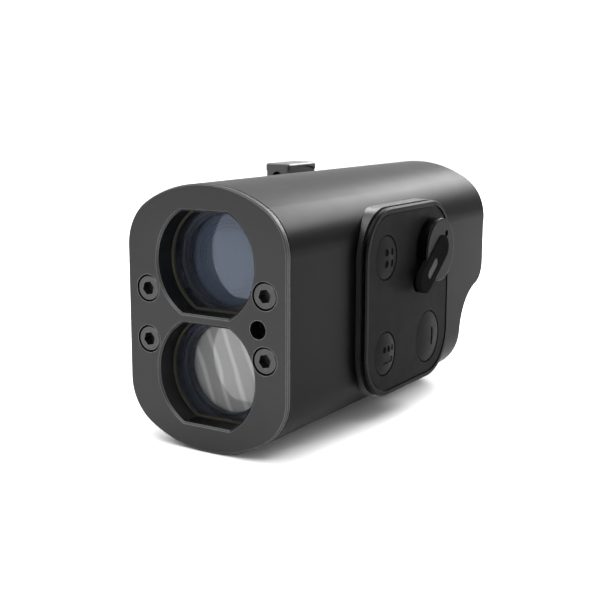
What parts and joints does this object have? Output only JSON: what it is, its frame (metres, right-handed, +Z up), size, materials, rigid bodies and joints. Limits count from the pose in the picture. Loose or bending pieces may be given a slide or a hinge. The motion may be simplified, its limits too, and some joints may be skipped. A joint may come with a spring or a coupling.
{
  "type": "laser speed meter",
  "caption": "Compact black laser speed meter with two stacked lens openings, side keypad, mode lever, eyepiece, battery cap and a rail clamp.",
  "frame": {"origin": "middle of the rail clamp's seat, on the seat plane, at the clamp bolt", "axes": "+X from the rail towards the keypad side, +Y from the lenses to the eyepiece, +Z up"},
  "size_m": [0.0698, 0.143, 0.07],
  "materials": {
    "anodised_housing": "satin black anodised, fine bead blast",
    "anodised_plate": "satin black anodised",
    "black_screw": "black oxide steel",
    "steel": "plain",
    "black_rubber": "matt moulded",
    "window_glass": "clear, anti-reflection coated",
    "coated_lens": "blue-grey coated",
    "clear_lens": "clear polished",
    "filter_glass": "infrared band-pass",
    "internal_black": "matt black",
    "internal_aluminium": "matt black anodised",
    "board": "green solder mask",
    "brass": "plain",
    "tin": "plain",
    "keypad_plate": "satin black",
    "keypad_film": "fine textured film",
    "button_rubber": "satin silicone",
    "knob_black": "satin black anodised",
    "cap_black": "semi-gloss",
    "inlay_grey": "matt light grey",
    "cell_wrap": "plain wrap",
    "laser_brass": "plain",
    "clamp_black": "black phosphated steel"
  },
  "bodies": {
    "body": {"housing": "anodised_housing", "front_gasket": "black_rubber", "front_plate": "anodised_plate", "front_screws": "black_screw", "window_seals": "black_rubber", "upper_window": "window_glass", "lower_window": "window_glass", "optics_chassis": "internal_aluminium", "pointer_window": "filter_glass", "pointer_module": "laser_brass", "upper_barrel": "internal_aluminium", "lower_barrel": "internal_aluminium", "lens_rings": "internal_aluminium", "objective_lens": "coated_lens", "receiver_lens": "clear_lens", "receiver_filter": "filter_glass", "receiver_board": "board", "detector": "tin", "sight_frame": "internal_black", "splitter_cube": "clear_lens", "laser_module": "laser_brass", "front_prism": "clear_lens", "rear_prism": "clear_lens", "display_frame": "internal_black", "display_panel": "clear_lens", "eye_housing": "anodised_housing", "field_lens": "clear_lens", "eyecup": "black_rubber", "battery_tube": "internal_black", "battery_cell": "cell_wrap", "contact_spring": "brass", "keypad_gasket": "black_rubber", "keypad_bezel": "keypad_plate", "keypad_membrane": "keypad_film", "button_domes": "steel", "keypad_board": "board", "board_screws": "steel", "bezel_screws": "steel", "shaft_seal": "black_rubber", "rotary_switch": "internal_black", "main_board": "board", "clamp_base": "clamp_black", "clamp_screws": "black_screw"},
    "top_button": {"top_button": "button_rubber"},
    "menu_button": {"menu_button": "button_rubber"},
    "power_button": {"power_button": "button_rubber"},
    "knob": {"mode_knob": "knob_black", "knob_cap": "cap_black", "knob_inlay": "inlay_grey", "knob_shaft": "steel"},
    "ring": {"diopter_ring": "anodised_plate"},
    "eye_carrier": {"eye_cell": "internal_aluminium", "eye_lens": "coated_lens"},
    "cap_carrier": {"cap_contact": "brass"},
    "cap": {"battery_cap": "anodised_plate", "cap_seal": "black_rubber"},
    "bolt": {"clamp_bolt": "black_screw", "bolt_clip": "steel"},
    "jaw": {"clamp_jaw": "clamp_black"}
  },
  "joints": [
    {"name": "top_button_press", "type": "slide", "parent": "body", "child": "top_button", "axis": [-1, 0, 0], "range_m": [0, 0.0008], "stiffness_N_per_m": 1500, "springref_m": -0.0005},
    {"name": "menu_button_press", "type": "slide", "parent": "body", "child": "menu_button", "axis": [-1, 0, 0], "range_m": [0, 0.0008], "stiffness_N_per_m": 1500, "springref_m": -0.0005},
    {"name": "power_button_press", "type": "slide", "parent": "body", "child": "power_button", "axis": [-1, 0, 0], "range_m": [0, 0.0008], "stiffness_N_per_m": 1500, "springref_m": -0.0005},
    {"name": "mode_turn", "type": "hinge", "parent": "body", "child": "knob", "pos_m": [0.058, -0.0154, 0.0017], "axis": [1, 0, 0], "range_deg": [-60, 60]},
    {"name": "diopter_turn", "type": "hinge", "parent": "body", "child": "ring", "pos_m": [0.03, 0.0373, 0.004], "axis": [0, 1, 0], "range_deg": [-60, 60]},
    {"name": "eye_focus", "type": "slide", "parent": "body", "child": "eye_carrier", "axis": [0, 1, 0], "range_m": [-0.00105, 0.00105]},
    {"name": "cap_lift", "type": "slide", "parent": "body", "child": "cap_carrier", "axis": [0, 1, 0], "range_m": [0, 0.0045]},
    {"name": "cap_turn", "type": "hinge", "parent": "cap_carrier", "child": "cap", "pos_m": [0.03, 0.0113, -0.0296], "axis": [0, 1, 0], "range_deg": [0, 1080]},
    {"name": "bolt_turn", "type": "hinge", "parent": "body", "child": "bolt", "pos_m": [-0.00045, 0, 0.0094], "axis": [0, 0, 1], "range_deg": [0, 1080]},
    {"name": "jaw_slide", "type": "slide", "parent": "body", "child": "jaw", "axis": [0, 0, -1], "range_m": [0, 0.0024]}
  ],
  "couplings": [
    {"joint": "diopter_turn", "follows": "eye_focus", "rad_per_m": 1000},
    {"joint": "cap_turn", "follows": "cap_lift", "rad_per_m": 4188.8},
    {"joint": "bolt_turn", "follows": "jaw_slide", "rad_per_m": 7854}
  ]
}
